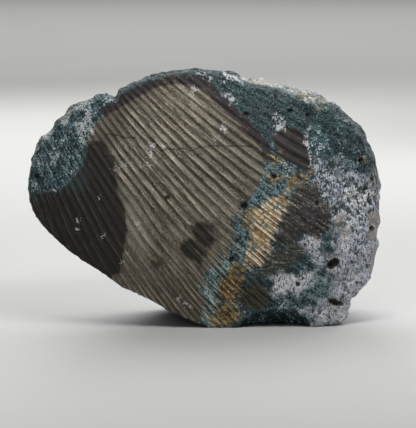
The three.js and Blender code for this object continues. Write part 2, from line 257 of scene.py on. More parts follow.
# What the sawn back shows: outlines in mm, x to the right and z up, read from the photograph.
MARKS = {
    "basalt": [[
        (-80, 60), (-69, 61), (-63, 63), (-58, 68), (-54, 74), (-53, 80), (-52, 86), (-49, 91), (-44, 96),
        (-39, 99), (-34, 102), (-29, 105), (-22, 108), (-13, 110), (-5, 109), (1, 107), (5, 102), (10, 97),
        (16, 92), (21, 86), (26, 81), (27, 77), (26, 71), (24, 65), (20, 58), (15, 54), (13, 50), (14, 43),
        (12, 37), (8, 32), (3, 26), (0, 23), (-2, 17), (0, 10), (-1, 3), (-5, 0), (-25, 7), (-47, 22),
        (-69, 37), (-83, 52)]],
    "damp": [[
        (-83, 60), (-69, 61), (-63, 63), (-55, 72), (-54, 80), (-51, 83), (-47, 84), (-44, 81), (-41, 75),
        (-40, 68), (-39, 60), (-36, 53), (-35, 44), (-36, 37), (-37, 31), (-38, 25), (-47, 20), (-69, 36),
        (-85, 52)]],
    "damp_core": [[
        (-55, 73), (-52, 79), (-46, 78), (-41, 69), (-39, 58), (-36, 47), (-36, 40), (-42, 46), (-49, 57),
        (-54, 66)]],
    "brown": [[
        (-54, 81), (-51, 90), (-46, 96), (-38, 101), (-30, 106), (-20, 109), (-14, 107), (-26, 101),
        (-34, 95), (-38, 88), (-43, 80), (-48, 82)]],
    "teal_stain": [[
        (-80, 62), (-69, 62), (-63, 64), (-58, 68), (-53, 74), (-50, 68), (-55, 62), (-62, 59), (-72, 57),
        (-80, 55)]],
    "lit": [[(-39, 64), (-34, 62), (-27, 50), (-23, 40), (-28, 33), (-33, 34), (-34, 42), (-36, 52)]],
    "stain": [
        [(-6, 46), (-1, 48), (3, 46), (5, 41), (3, 36), (-2, 37), (-5, 41)],
        [(-11, 37), (-7, 41), (-2, 37), (1, 35), (-2, 27), (-5, 30), (-9, 32), (-12, 35)],
        [(-24, 30), (-19, 31), (-18, 27), (-22, 26)],
        [(16, 57), (20, 59), (21, 56), (17, 53)]],
    "deep_teal": [
        [(-39, 105), (-30, 112), (-9, 118), (7, 116), (14, 112), (29, 110), (45, 104), (51, 96), (48, 88),
         (38, 91), (29, 86), (23, 88), (13, 99), (4, 108), (-5, 111), (-16, 113), (-27, 110), (-38, 103)],
        [(50, 98), (62, 98), (74, 90), (85, 74), (83, 63), (74, 68), (66, 74), (57, 82)]],
    "pale_teal": [[
        (26, 84), (31, 84), (33, 72), (36, 66), (37, 61), (30, 58), (22, 54), (18, 49), (20, 42), (18, 34),
        (13, 27), (6, 22), (5, 15), (4, 8), (3, 0), (-1, 0), (0, 10), (-2, 17), (1, 24), (9, 32), (14, 42),
        (13, 50), (20, 58), (25, 66), (26, 76)],
        [(42, 22), (52, 25), (60, 20), (64, 12), (58, 8), (46, 11), (38, 14)]],
    "golden": [[
        (36, 60), (37, 56), (35, 51), (31, 42), (29, 35), (25, 28), (21, 27), (18, 31), (19, 37), (21, 44),
        (18, 48), (21, 53), (28, 57), (31, 59)]],
    "umber": [
        [(17, 52), (21, 53), (20, 47), (21, 43), (17, 46)],
        [(10, 26), (14, 29), (18, 27), (18, 19), (14, 13), (10, 12), (5, 15), (5, 21), (8, 23)],
        [(4, 11), (11, 12), (15, 8), (14, 3), (9, 0), (3, 0), (4, 6)],
        [(29, 78), (32, 78), (33, 74), (31, 73)],
        [(27, 68), (33, 69), (34, 66), (28, 65)],
        [(37, 66), (41, 69), (47, 69), (46, 66), (40, 64), (37, 62)]],
    "island": [[
        (30, 86), (35, 89), (41, 90), (44, 87), (46, 82), (48, 74), (48, 69), (43, 71), (40, 73), (36, 75),
        (33, 77), (31, 81)]],
    "slab": [[
        (34, 57), (39, 60), (44, 65), (49, 64), (54, 57), (57, 51), (56, 44), (51, 41), (43, 42), (38, 38),
        (32, 37), (30, 40), (32, 47), (34, 53)]],
    "feather": [[(21, 24), (23, 29), (29, 35), (38, 38), (45, 37), (43, 31), (36, 26), (27, 23)]],
    "streaks": [[(16, 19), (24, 22), (29, 17), (30, 10), (24, 8), (18, 9), (13, 13)]],
    "chalk": [
        [(30, 95), (33, 97), (35, 94), (37, 91), (36, 88), (32, 88), (30, 89), (31, 92)],
        [(-3, 114), (1, 114), (3, 112), (0, 110), (-3, 112)],
        [(9, 104), (12, 105), (14, 102), (12, 99), (10, 100)],
        [(44, 89), (47, 90), (48, 86), (45, 86)],
        [(-57, 93), (-52, 94), (-51, 87), (-54, 82), (-57, 84)],
        [(-70, 86), (-73, 84), (-78, 75), (-80, 76), (-76, 84), (-73, 88)],
        [(-66, 92), (-60, 98), (-54, 102), (-50, 101), (-58, 96), (-63, 90)],
        [(8, 109), (16, 109), (18, 112), (14, 115), (8, 115)]],
    "bright": [
        [(49, 55), (53, 58), (58, 53), (57, 48), (51, 48)],
        [(63, 48), (67, 50), (67, 42), (64, 33), (59, 31), (61, 37), (62, 43)],
        [(62, 60), (69, 63), (76, 60), (74, 53), (67, 53)],
        [(29, 23), (32, 25), (40, 24), (48, 25), (49, 22), (45, 16), (38, 14), (31, 16)],
        [(62, 19), (67, 22), (70, 20), (67, 13), (61, 13)],
        [(49, 8), (56, 9), (66, 8), (66, 0), (50, 0)],
        [(43, 42), (49, 43), (50, 37), (46, 34), (43, 37)]],
    "lobes": [
        [(73, 50), (82, 50), (83, 40), (75, 39)],
        [(76, 35), (82, 35), (81, 23), (76, 23)],
        [(57, 47), (62, 50), (63, 43), (59, 42)]],
    "skin": [[
        (47, 71), (57, 73), (65, 68), (73, 65), (83, 63), (84, 29), (74, 13), (68, -1), (50, -1), (48, 7),
        (56, 13), (58, 24), (52, 30), (60, 35), (62, 42), (55, 48), (50, 57), (47, 66)]],
}

# Its narrow marks: paths in mm and half their width; and small spots, each x, z and radius.
PATHS = {
    "underline": (4, [
        (-44, 98), (-35, 104), (-26, 109), (-16, 112), (-7, 111), (0, 108), (7, 102), (13, 96), (20, 89),
        (25, 84), (27, 78)]),
    "lip": (0.7, [(45, 83), (47, 78), (47, 71)]),
}
CRACKS = [
    [(-44, 87), (-36, 85), (-31, 85)],
    [(-20, 79.5), (-9, 80.2), (-6.8, 78.9), (-3.7, 80.2), (4.4, 81.6), (20, 81.1), (24, 80.5)],
]
WHITE_SPOTS = [
    (-24, 81, 1.6), (-24.7, 77, 1.5), (-26, 73, 1), (-18.5, 81.5, 1), (4.4, 84, 1.1), (8, 89.5, 1.3),
    (-5.5, 106, 1.6), (-41, 71, 0.9), (-38, 72, 1.2), (-35.5, 73, 0.9), (-30.5, 47, 1), (-29.5, 44.8, 0.8),
    (-12, 13, 1.1), (-9, 11, 1), (-6.5, 9.5, 0.8), (-14, 69, 0.6), (-57.5, 48, 1), (-57.6, 44, 0.7),
    (-47.5, 58.3, 0.7), (-45.7, 40.9, 0.8), (8.8, 88.7, 0.8), (-37.6, 29.7, 0.8), (-71.5, 85, 1.8),
    (61.8, 31.6, 1.5), (60.6, 33.4, 1),
]
DARK_SPOTS = [
    (-17, 57.9, 1), (17.8, 55.2, 1.7), (12, 31, 1.2), (56.5, 27.8, 2), (58.8, 28.9, 1.8), (50.4, 56.1, 1.1),
    (70.5, 74, 1.2), (75.4, 65.9, 1), (75.4, 43.1, 1.1), (41.5, 19.4, 0.9), (-75.6, 67.3, 1),
    (-67.6, 68.6, 0.9), (31.6, 103, 1), (38.3, 97.2, 1.2), (30.7, 67.7, 1.1), (18, 95, 1), (46, 95, 0.9),
    (56.6, 11.4, 1.3), (58.8, 11, 1.4), (61, 10.4, 0.9),
]


def merged_copy(node, name):
    """A new piece with a node's own shape, its corners joined."""
    bm = bmesh.new()
    bm.from_mesh(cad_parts[node].data)
    bmesh.ops.remove_doubles(bm, verts=bm.verts, dist=1e-6)
    return new_piece(name, filled_mesh(name, bm))


def remeshed(piece, grain):
    """Gives a piece an even skin of small faces, this many mm wide."""
    even_skin = piece.modifiers.new("even_skin", "REMESH")
    even_skin.mode = "VOXEL"
    even_skin.voxel_size = grain * MM
    ready = piece.evaluated_get(bpy.context.evaluated_depsgraph_get())
    piece.data = bpy.data.meshes.new_from_object(ready)
    piece.modifiers.clear()
    piece.data.materials.clear()


def corners_of(mesh):
    """The corners of a mesh in mm, and which way the surface faces at each."""
    places = np.empty(len(mesh.vertices) * 3)
    mesh.vertices.foreach_get("co", places)
    facing = np.empty(len(mesh.vertices) * 3, np.float32)
    mesh.vertex_normals.foreach_get("vector", facing)
    return places.reshape(-1, 3) / MM, facing.reshape(-1, 3)


def move_corners(mesh, places):
    mesh.vertices.foreach_set("co", (places * MM).ravel())
    mesh.update()


def step(values, low, high):
    share = np.clip((values - low) / (high - low), 0, 1)
    return share * share * (3 - 2 * share)


def rough(places, size, octaves=3):
    """Uneven heights from about -1 to 1, whose largest lumps are this many mm wide."""
    return np.array([noise.fractal(Vector(place) / size, 1, 2, octaves) for place in places])


def knobs(places, size):
    """Rounded lumps that crowd together: 1 on top of each and near 0 in the gaps."""
    return np.array([1 - noise.voronoi(Vector(place) / size)[0][0] for place in places])


def depth_inside(x, z, outline):
    """How many mm each place is inside an outline, and below 0 outside it."""
    nearest = np.full(len(x), 1e3)
    crossings = np.zeros(len(x), int)
    for (ax, az), (bx, bz) in zip(outline, outline[1:] + outline[:1]):
        run, rise = bx - ax, bz - az
        share = np.clip(((x - ax) * run + (z - az) * rise) / (run ** 2 + rise ** 2), 0, 1)
        nearest = np.minimum(nearest, np.hypot(x - ax - share * run, z - az - share * rise))
        if rise:
            crossings += ((az > z) != (bz > z)) & (x < run * (z - az) / rise + ax)
    return np.where(crossings % 2 == 1, nearest, -nearest)


def distance_along(x, z, path):
    """How many mm each place is from a path."""
    nearest = np.full(len(x), 1e3)
    for (ax, az), (bx, bz) in zip(path, path[1:]):
        run, rise = bx - ax, bz - az
        share = np.clip(((x - ax) * run + (z - az) * rise) / (run ** 2 + rise ** 2), 0, 1)
        nearest = np.minimum(nearest, np.hypot(x - ax - share * run, z - az - share * rise))
    return nearest


def off_crack(x, z, path):
    """How many mm each place is above a crack, and a large distance beyond its ends."""
    path_x, path_z = zip(*path)
    beyond = np.maximum(path_x[0] - x, x - path_x[-1])
    return z - np.interp(x, path_x, path_z) + 4 * np.maximum(beyond, 0)


def spots(x, z, places):
    return np.max([radius - np.hypot(x - spot_x, z - spot_z) for spot_x, spot_z, radius in places], axis=0)


def sawn_plane(x, z):
    return SAWN_FOOT + z * math.tan(LEAN) + CROWN * (x ** 2 + (z - CROWN_HEIGHT) ** 2)


def stroke(turns):
    """One ridge for each whole turn: a slow concave rise to the crest, then a quick fall."""
    share = (turns + CREST) % 1
    return np.where(share < CREST, (share / CREST) ** 1.5, (1 - share) / (1 - CREST))


def surface_of(piece):
    bm = bmesh.new()
    bm.from_mesh(piece.data)
    tree = BVHTree.FromBMesh(bm)
    bm.free()
    return tree


def distance_to(tree, places):
    """How many mm each place is from a surface, up to 20."""
    found = (tree.find_nearest(Vector(place) * MM, 20 * MM)[3] for place in places)
    return np.array([20 if distance is None else distance / MM for distance in found])


def store(mesh, name, values):
    mesh.attributes.new(name, "FLOAT", "POINT").data.foreach_set("value", values.astype(np.float32))


stone = merged_copy("basalt_matrix", "basalt_stone")
remeshed(stone, STONE_GRAIN)
bm = bmesh.new()
bm.from_mesh(stone.data)
bm.normal_update()
back_edges = {edge for face in bm.faces if face.normal.y < BACK_FACING for edge in face.edges}
bmesh.ops.subdivide_edges(bm, edges=list(back_edges), cuts=1, use_grid_fill=True)
bm.to_mesh(stone.data)
bm.free()

places, facing = corners_of(stone.data)
x, y, z = places.T
in_plane = np.column_stack([x, np.zeros(len(x)), z])
from_pivot = np.hypot(x - PIVOT[0], z - PIVOT[1])
angle = np.arctan2(PIVOT[1] - z, x - PIVOT[0])
turns = (angle + STROKE_CURL * (from_pivot - STRAIGHT_AT) ** 2 - FIRST_STROKE) / STROKE_PITCH
turns += STROKE_WANDER * rough(in_plane, 24, 2)
marks = {name: np.max([depth_inside(x, z, outline) for outline in outlines], axis=0)
         for name, outlines in MARKS.items()}
marks.update({name: width - distance_along(x, z, path) for name, (width, path) in PATHS.items()})
marks["white_spots"] = spots(x, z, WHITE_SPOTS)
bent_x = x + SPOT_BEND * rough(in_plane, 3.5, 2)
bent_z = z + SPOT_BEND * rough(in_plane + 40, 3.5, 2)
marks["dark_spots"] = spots(bent_x, bent_z, DARK_SPOTS)
holes = SPOT_DEPTH * step(marks["dark_spots"], -0.4, 1.2)

# The sawn back keeps its ridges where the stone is hard, and they fade on the damp end and the skin.
sawn = (1 - step(np.abs(y - sawn_plane(x, z)), *SAWN_WITHIN)) * step(-facing[:, 1], 0.2, 0.5)
fineness = step(from_pivot - FINER_LEAN * x, *FINER_FROM)
ridged = 0.35 + 0.65 * step(marks["basalt"], -2, 1)
vein_marks = np.max([marks[name] for name in ("golden", "umber", "island", "slab", "streaks")], axis=0)
ridged = np.maximum(ridged, 0.85 * step(vein_marks, -2, 1))
ridged *= 1 - 0.4 * step(marks["damp"], -2, 2)
ridged *= 1 - 0.8 * step(marks["skin"], -4, 1)
ridge = (1 - fineness) * stroke(turns) + fineness * stroke(2 * turns + FINER_SHIFT)
relief = STROKE_HEIGHT * ridged * (0.9 + 0.5 * rough(in_plane, 15, 3)) * (ridge - 0.5)
relief += SAW_GRIT * rough(in_plane, 1.6, 2)
relief -= holes
cut_y = sawn_plane(x, z) - relief

# The rest is broken stone that has weathered, and the skin at the right end stands in round lumps.
natural = np.maximum(1 - sawn, step(marks["skin"], -3, 3))
weathered = SWELL * rough(places, 9, 4)
weathered += KNOB_HEIGHT * (knobs(places, 3.4) - 0.55)
weathered += STONE_GRIT * rough(places, 1.6, 2)
lumps = np.maximum(knobs(places, 9), 0.85 * knobs(places + 20, 5))
weathered += LUMP_HEIGHT * step(marks["skin"], -3, 4) * (lumps - 0.66)
weathered = (weathered - holes) * step(z, *FOOT_FLAT)
crust_gap = distance_to(surface_of(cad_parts["druse_crust"]), places)
weathered = np.minimum(weathered, 0.6 * crust_gap) + UNDER_CRUST * (1 - step(crust_gap, 0.8, 2.2))
places += facing * (natural * weathered)[:, None]
places[:, 1] += sawn * (1 - step(marks["skin"], -3, 3)) * (cut_y - y)
places[:, 2] = np.maximum(places[:, 2], 0)
move_corners(stone.data, places)

store(stone.data, "sawn", sawn)
store(stone.data, "turns", turns)
store(stone.data, "ridge", ridge)
store(stone.data, "from_pivot", from_pivot)
store(stone.data, "knob", weathered)
store(stone.data, "lump", lumps)
store(stone.data, "crust_gap", crust_gap)
for mark_name, depths in marks.items():
    store(stone.data, mark_name, depths)
for number, path in enumerate(CRACKS):
    store(stone.data, f"crack_{number}", off_crack(x, z, path))
for face in stone.data.polygons:
    face.use_smooth = True

sawn_stone = Finish("sawn_basalt", {"Specular IOR Level": 0.35})
stone_x = sawn_stone.place_along("X")
stone_y = sawn_stone.place_along("Y")
stone_z = sawn_stone.place_along("Z")
is_sawn = sawn_stone.attribute("sawn").rising(0.3, 0.7)
in_basalt = sawn_stone.attribute("basalt")
knob = sawn_stone.attribute("knob")
hole = sawn_stone.attribute("dark_spots")
sand = sawn_stone.cloud(0.4, 2)
grain = sawn_stone.cloud(0.8, 3, 11)
fleck = sawn_stone.cloud(2.2, 3, 23)
patch = sawn_stone.cloud(5, 3, 37)
field = sawn_stone.cloud(18, 3, 51)
edge_wobble = (patch - 0.5) * 5 + (fleck - 0.5) * 3

# Fine lines that follow the saw's strokes, and masks of the ridges: their crests, where highlights are
# painted, and their grooves, where shade is painted.
turn = sawn_stone.attribute("turns")
pivot_away = sawn_stone.attribute("from_pivot")
line_place = sawn_stone.node("CombineXYZ", {}, {0: turn, 1: pivot_away * LINE_STRETCH})
lines = sawn_stone.cloud(0.45, 3, 3, where=line_place, roughness=0.6)
scratches = sawn_stone.cloud(0.13, 2, 9, where=line_place, roughness=0.6)
streaked = lines * 0.5 + scratches * 0.5
ridge_height = sawn_stone.attribute("ridge")
crest_highlight = ridge_height.rising(0.55, 0.95)
groove_shade = 1 - ridge_height.rising(0, 0.3)
fine_turn = (turn * 2 + (lines - 0.5) * 0.5 + FINER_SHIFT + CREST).maths("FRACT")
fine_crest_highlight = fine_turn.rising(0.4, 0.74) * (1 - fine_turn.rising(0.8, 0.94))
fine_groove_shade = (1 - fine_turn.rising(0.05, 0.3)) | fine_turn.rising(0.88, 1)
finer_strokes = (pivot_away - stone_x * FINER_LEAN).rising(200, 235)
stroke_wobble = (lines - 0.5) * 9 + (scratches - 0.5) * 4 + (ridge_height - 0.5) * 1.5


def marked(name, soft=0.7, wobble=1.0, strokes=0.0):
    """1 inside a mark of the sawn back and 0 outside; its ragged edge may follow the strokes."""
    edge = sawn_stone.attribute(name) + edge_wobble * wobble
    return (edge + stroke_wobble * strokes if strokes else edge).rising(-soft, soft)


# The basalt: grey-brown, streaked along the strokes and damp at its left end, with painted shade in the
# grooves and painted highlights on the crests.
PALE_TAUPE = tone(206, 198, 178)
# Pale streaks along the strokes, with a painted highlight added on the ridge crests, here and on the damp
# end.
pale_line = (streaked + (sand - 0.5) * 0.5 + crest_highlight * 0.16).rising(0.58, 0.7)
damp = sawn_stone.blend(
    tone(34, 31, 27), tone(76, 68, 60), pale_line | (crest_highlight * streaked.rising(0.45, 0.6) * 0.7))
basalt = sawn_stone.coats(
    tone(80, 73, 62),
    (tone(136, 129, 113), (streaked + (grain - 0.5) * 0.6).rising(0.38, 0.54)),
    (PALE_TAUPE, pale_line),
    # Painted shade in the grooves, then a painted highlight on the finer strokes' crests and painted shade
    # in their grooves.
    (tone(58, 51, 43), groove_shade * (scratches * 0.6 + fleck * 0.4).rising(0.38, 0.54) * 0.85),
    (PALE_TAUPE, fine_crest_highlight * finer_strokes * scratches.rising(0.42, 0.56) * 0.5),
    (tone(54, 48, 41), fine_groove_shade * finer_strokes * grain.rising(0.36, 0.5) * 0.6),
    (tone(172, 170, 154), marked("lit", 3, 1) * 0.35),
    (tone(76, 69, 59), stone_x.rising(-8, 16) * stone_z.rising(60, 74) * 0.4),
    (tone(96, 86, 72), (1 - stone_z.rising(10, 48)) * 0.4),
    (tone(84, 75, 66), marked("brown", 3, 1.2, 0.4) * 0.6),
    (tone(88, 80, 68), (field * 0.6 + patch * 0.4).rising(0.5, 0.62) * 0.45),
    (damp, marked("damp", 0.7, 0.4, 0.3) * 0.96),
    (tone(62, 80, 84), marked("teal_stain", 2.5, 1.2, 0.5) * lines.rising(0.4, 0.6) * 0.7),
    (tone(44, 40, 37), marked("damp_core", 2.5, 0.6, 0.2) * 0.6),
    (tone(30, 27, 24), marked("stain", 1.2, 0.6, 0.9) * lines.rising(0.28, 0.48) * 0.92))

# The rim that turned to celadonite: teal, deep along the top, flecked at the left, pale by the vein.
DEEP_TEAL = tone(30, 50, 54)
upper_left = 1 - stone_x.rising(-56, -40)
on_right = stone_x.rising(48, 56)
deep = sawn_stone.coats(
    tone(25, 36, 39),
    (tone(50, 67, 71), (fleck * 0.25 + scratches * 0.3 + grain * 0.45).rising(0.44, 0.54)),
    (tone(26, 66, 60), (patch * 0.7 + field * 0.3).rising(0.52, 0.6) * 0.55),
    (tone(118, 142, 142), (grain * 0.5 + sand * 0.5).rising(0.55, 0.6) * 0.7),
    (tone(66, 120, 110), (patch * 0.5 + scratches * 0.5).rising(0.58, 0.62) * 0.35),
    (tone(14, 20, 22), (1 - (grain * 0.6 + fleck * 0.4).rising(0.38, 0.43)) * 0.8))
speck = (grain * 0.4 + sand * 0.25 + lines * 0.35).rising(0.53, 0.59)
left_speck = (scratches * 0.45 + grain * 0.35 + patch * 0.2).rising(0.53, 0.58)
left_gap = 1 - (scratches * 0.6 + fleck * 0.4).rising(0.41, 0.46)
vein_speck = (grain * 0.4 + fleck * 0.3 + scratches * 0.3).rising(0.46, 0.54)
teal = sawn_stone.coats(
    DEEP_TEAL,
    (tone(64, 94, 99), (patch * 0.35 + fleck * 0.3 + scratches * 0.35).rising(0.42, 0.56)),
    (tone(158, 182, 186), speck * field.rising(0.38, 0.56) * 0.85),
    (tone(214, 222, 224), (grain * 0.5 + patch * 0.5).rising(0.57, 0.61) * 0.8),
    (tone(24, 34, 37), (1 - grain.rising(0.37, 0.42)) * 0.85),
    (tone(176, 194, 200), left_speck * upper_left * 0.55),
    (tone(26, 34, 36), left_gap * upper_left * 0.7),
    (deep, marked("deep_teal", 2, 1) * (1 - on_right * fleck.rising(0.42, 0.56) * 0.7)),
    (tone(132, 158, 162), marked("pale_teal", 2, 1.2) * vein_speck * 0.75))

# The natural skin at the right end: small pale and lavender crystals, with olive and teal between, white
# wisps and specks painted as highlights and glints, and painted shade in its hollows.
wisp_place = sawn_stone.node("Mapping", {}, {
    "Vector": sawn_stone.place(), "Rotation": (0, math.radians(-14), 0), "Scale": (1.5, 1, 0.55)})
wisp = sawn_stone.cloud(0.95, 3, 61, where=wisp_place)
sparkle = sawn_stone.cloud(0.95, 2, 91)
blot = sawn_stone.cloud(4.2, 3, 113) * 0.8 + grain * 0.2
lump = sawn_stone.attribute("lump") + (patch - 0.5) * 0.5 + (fleck - 0.5) * 0.3
bloom = lump * 0.35 + patch * 0.3 + fleck * 0.35
low_down = 1 - stone_z.rising(34, 52)
bright = marked("bright", 2, 1.8)
near_back = 1 - (stone_y + edge_wobble * 3).rising(-20, 0)
lobe = sawn_stone.blend(
    tone(152, 138, 124), tone(206, 196, 190), (patch * 0.6 + grain * 0.4).rising(0.42, 0.58))
skin = sawn_stone.coats(
    tone(86, 103, 110),
    (tone(145, 154, 168), bloom.rising(0.4, 0.56)),
    (tone(192, 198, 222), (bloom * 0.5 + wisp * 0.5).rising(0.48, 0.56) * 0.85),
    (tone(224, 229, 246), low_down * (bloom * 0.4 + grain * 0.6).rising(0.38, 0.5) * 0.9),
    (tone(150, 118, 82), (patch * 0.5 + sparkle * 0.5).rising(0.56, 0.6) * 0.55),
    (tone(84, 84, 76), blot.rising(0.53, 0.58) * 0.7),
    (tone(66, 90, 92), (1 - blot.rising(0.41, 0.45)) * 0.6),
    # White wisps painted as highlights on the crystals.
    (tone(230, 235, 246), (wisp * 0.7 + fleck * 0.3).rising(0.51, 0.56) * 0.9),
    (tone(30, 38, 40), (1 - (wisp * 0.6 + grain * 0.4).rising(0.42, 0.46)) * 0.85),
    (tone(22, 30, 30), (1 - (patch * 0.4 + fleck * 0.6).rising(0.33, 0.38)) * 0.85),
    # Painted glints.
    (tone(250, 252, 255), sparkle.rising(0.59, 0.64)),
    (tone(250, 251, 252), (wisp * 0.4 + sparkle * 0.3 + fleck * 0.3).rising(0.46, 0.52) * bright),
    (lobe, marked("lobes", 1.5, 1.5) * near_back * 0.75),
    # Painted shade where the skin sinks into hollows and pits.
    (tone(34, 42, 46), (1 - knob.rising(-1.9, -0.9)) * 0.8))

# The rusty vein, gold and umber along the strokes with painted highlights on their crests, and the dark
# slabs and streaks beside it.
golden = sawn_stone.coats(
    tone(160, 124, 70),
    (tone(222, 200, 156), (streaked * 0.6 + fleck * 0.4).rising(0.42, 0.55)),
    (tone(108, 72, 30), (1 - (grain * 0.6 + patch * 0.4).rising(0.42, 0.49)) * 0.9),
    # Painted shade in the fine grooves, and a painted highlight on the fine crests.
    (tone(88, 64, 34), fine_groove_shade * fleck.rising(0.4, 0.52) * 0.75),
    (tone(253, 247, 230), fine_crest_highlight * (lines * 0.5 + fleck * 0.5).rising(0.42, 0.5)),
    (tone(252, 248, 236), streaked.rising(0.57, 0.62) * 0.8),
    (tone(84, 110, 112), (patch * 0.5 + fleck * 0.5).rising(0.56, 0.6) * 0.85))
umber = sawn_stone.coats(
    tone(98, 76, 40),
    (tone(164, 134, 78), (streaked * 0.5 + fleck * 0.5).rising(0.42, 0.58)),
    (tone(58, 52, 38), (1 - (grain * 0.5 + fleck * 0.5).rising(0.42, 0.5)) * 0.7),
    (tone(196, 180, 136), (grain * 0.6 + scratches * 0.4).rising(0.55, 0.61) * 0.7),
    # A painted highlight on the fine crests.
    (tone(226, 212, 176), fine_crest_highlight * (lines * 0.5 + grain * 0.5).rising(0.48, 0.56) * 0.6),
    (tone(84, 104, 100), (patch * 0.6 + fleck * 0.4).rising(0.55, 0.61) * 0.7))
slab = sawn_stone.coats(
    tone(40, 38, 36),
    (tone(82, 80, 74), (grain * 0.4 + streaked * 0.6).rising(0.42, 0.56)),
    (tone(166, 164, 156), (grain * 0.5 + scratches * 0.5).rising(0.55, 0.6) * 0.75),
    (tone(70, 62, 74), patch.rising(0.52, 0.6) * 0.5))
island = sawn_stone.blend(
    tone(35, 31, 31), tone(70, 64, 62), (streaked * 0.8 + grain * 0.2).rising(0.42, 0.6))
stripe = scratches * 0.7 + grain * 0.3
striped = sawn_stone.coats(
    tone(38, 50, 50),
    (tone(96, 126, 126), stripe.rising(0.42, 0.52)),
    (tone(210, 228, 222), stripe.rising(0.53, 0.58)))
olive = sawn_stone.blend(tone(34, 33, 26), tone(96, 94, 76), stripe.rising(0.46, 0.6))
fan_place = sawn_stone.node("Mapping", {}, {
    "Vector": sawn_stone.place(), "Rotation": (0, math.radians(24), 0), "Scale": (0.12, 1, 1)})
fan = sawn_stone.cloud(0.6, 3, 13, where=fan_place) * 0.7 + grain * 0.3
feather = sawn_stone.coats(
    tone(46, 46, 40),
    (tone(90, 88, 76), fan.rising(0.44, 0.56)),
    (tone(158, 156, 140), fan.rising(0.58, 0.63)))

# The whole sawn back: each mark lies over the ones above it in this list, and the cracks come last.
near_vein = (in_basalt + 7).rising(-1, 1) * (1 - stone_z.rising(26, 40))
pale_skin = (marked("skin", 6, 3) | bright) * (fleck * 0.4 + patch * 0.3 + field * 0.3).rising(0.33, 0.43)
left_end = 1 - stone_x.rising(-66, -48)
vein_side = stone_x.rising(-16, 4) * (1 - stone_z.rising(46, 60))
basalt_edge = in_basalt + edge_wobble * 0.35 + stroke_wobble * (left_end * 0.8 + vein_side * 1.5)
basalt_edge = basalt_edge + (fine_crest_highlight - 0.4) * vein_side * 3
off_basalt = in_basalt * -1 + edge_wobble * 0.4
underline = off_basalt.rising(-1.8, -0.6) * (1 - off_basalt.rising(2.4, 4.2)) * marked("underline", 1.5)
white_spot = sawn_stone.attribute("white_spots") + (grain - 0.5) * 7 + (sand - 0.5) * 5 - 0.4
hole_rim = (hole + (sparkle - 0.5) * 4).rising(-1.2, -0.7) * (fleck * 0.5 + wisp * 0.5).rising(0.5, 0.56)
back = sawn_stone.coats(
    teal,
    (striped, near_vein * 0.8),
    (skin, pale_skin),
    (slab, marked("slab", 1.2, 1, 0.5)),
    (olive, marked("streaks", 2.4, 1.5, 0.7)),
    (feather, marked("feather", 2.4, 1.5) * 0.85),
    (island, marked("island", 0.6, 0.9, 0.6)),
    (basalt, basalt_edge.rising(-0.5, 0.5)),
    (tone(46, 40, 43), underline * 0.95),
    (tone(116, 94, 62), underline * (grain * 0.4 + fleck * 0.6).rising(0.56, 0.62) * 0.5),
    (golden, marked("golden", 1.6, 1.5, 0.6)),
    (umber, marked("umber", 2.2, 1.8, 0.5)),
    (tone(206, 212, 212), marked("lip", 0.4, 0.6) * grain.rising(0.48, 0.54)),
    (tone(222, 224, 222), white_spot.rising(0, 0.4) * 0.85),
    (tone(214, 204, 184), hole_rim * on_right * 0.7),
    # The pits, painted dark as shade.
    (tone(24, 22, 22), (hole + (grain - 0.5) * 3).rising(-0.3, 0.3) * 0.92))
for number in range(len(CRACKS)):
    from_crack = sawn_stone.attribute(f"crack_{number}") + (fleck - 0.5) * 2
    hairline = 1 - from_crack.maths("ABSOLUTE").rising(0.12, 0.42)
    back = sawn_stone.blend(back, tone(34, 31, 28), hairline * 0.8)

# The broken sides: teal and drab, with painted shade where they sink, the back's colours carried round them
# and sugar by the crust.
broad = sawn_stone.cloud(42, 3, 77)
speckle = grain * 0.5 + fleck * 0.5
drab = sawn_stone.blend(
    tone(70, 66, 58), tone(122, 115, 101), (patch * 0.4 + grain * 0.6).rising(0.42, 0.56))
skin_round = (sawn_stone.attribute("skin") + edge_wobble * 2 + (field - 0.5) * 60).rising(-4, 4)
back_round = near_back * (1 - basalt_edge.rising(-3, 0))
chalk = marked("chalk", 0.9, 1.6) * (fleck * 0.4 + grain * 0.6).rising(0.45, 0.53) * near_back
near_crust = sawn_stone.attribute("crust_gap") + (patch - 0.5) * 18 + (grain - 0.5) * 16
sugared = (1 - near_crust.rising(-0.5, 1)) * (1 - is_sawn) * stone_y.rising(-6, 6)
stone_colour = sawn_stone.coats(
    DEEP_TEAL,
    (tone(86, 104, 108), (patch * 0.5 + fleck * 0.5).rising(0.42, 0.56)),
    (drab, (broad * 0.7 + patch * 0.3).rising(0.45, 0.55) * 0.9),
    (tone(148, 158, 158), speckle.rising(0.57, 0.62) * 0.6),
    (tone(26, 32, 32), (1 - speckle.rising(0.4, 0.45)) * 0.8),
    # Painted shade where the surface sinks.
    (tone(34, 38, 37), 1 - knob.rising(-1, -0.2)),
    (skin, skin_round),
    (back, is_sawn | back_round),
    (tone(204, 208, 206), (chalk | sugared) * 0.85))

on_skin = pale_skin | (1 - is_sawn)
glints = (grain * 0.6 + sand * 0.4).rising(0.55, 0.62) * on_skin
saw_lines = ((lines - 0.5) * 0.35 + (scratches - 0.5) * 0.16) * is_sawn
crystal_grit = on_skin * ((fleck - 0.5) * 2.2 + (grain - 0.5) * 1.1)
stone_height = sand * 0.12 + grain * 0.18 + saw_lines + crystal_grit
stone_bump = sawn_stone.node("Bump", {}, {"Strength": 1, "Distance": MM, "Height": stone_height})
sawn_stone.feed({
    "Base Color": stone_colour,
    "Roughness": 0.62 - 0.3 * (fleck - 0.5) - 0.35 * glints,
    "Normal": stone_bump})
stone.data.materials.append(sawn_stone.material)
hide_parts("basalt_matrix")
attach(stone, "root")

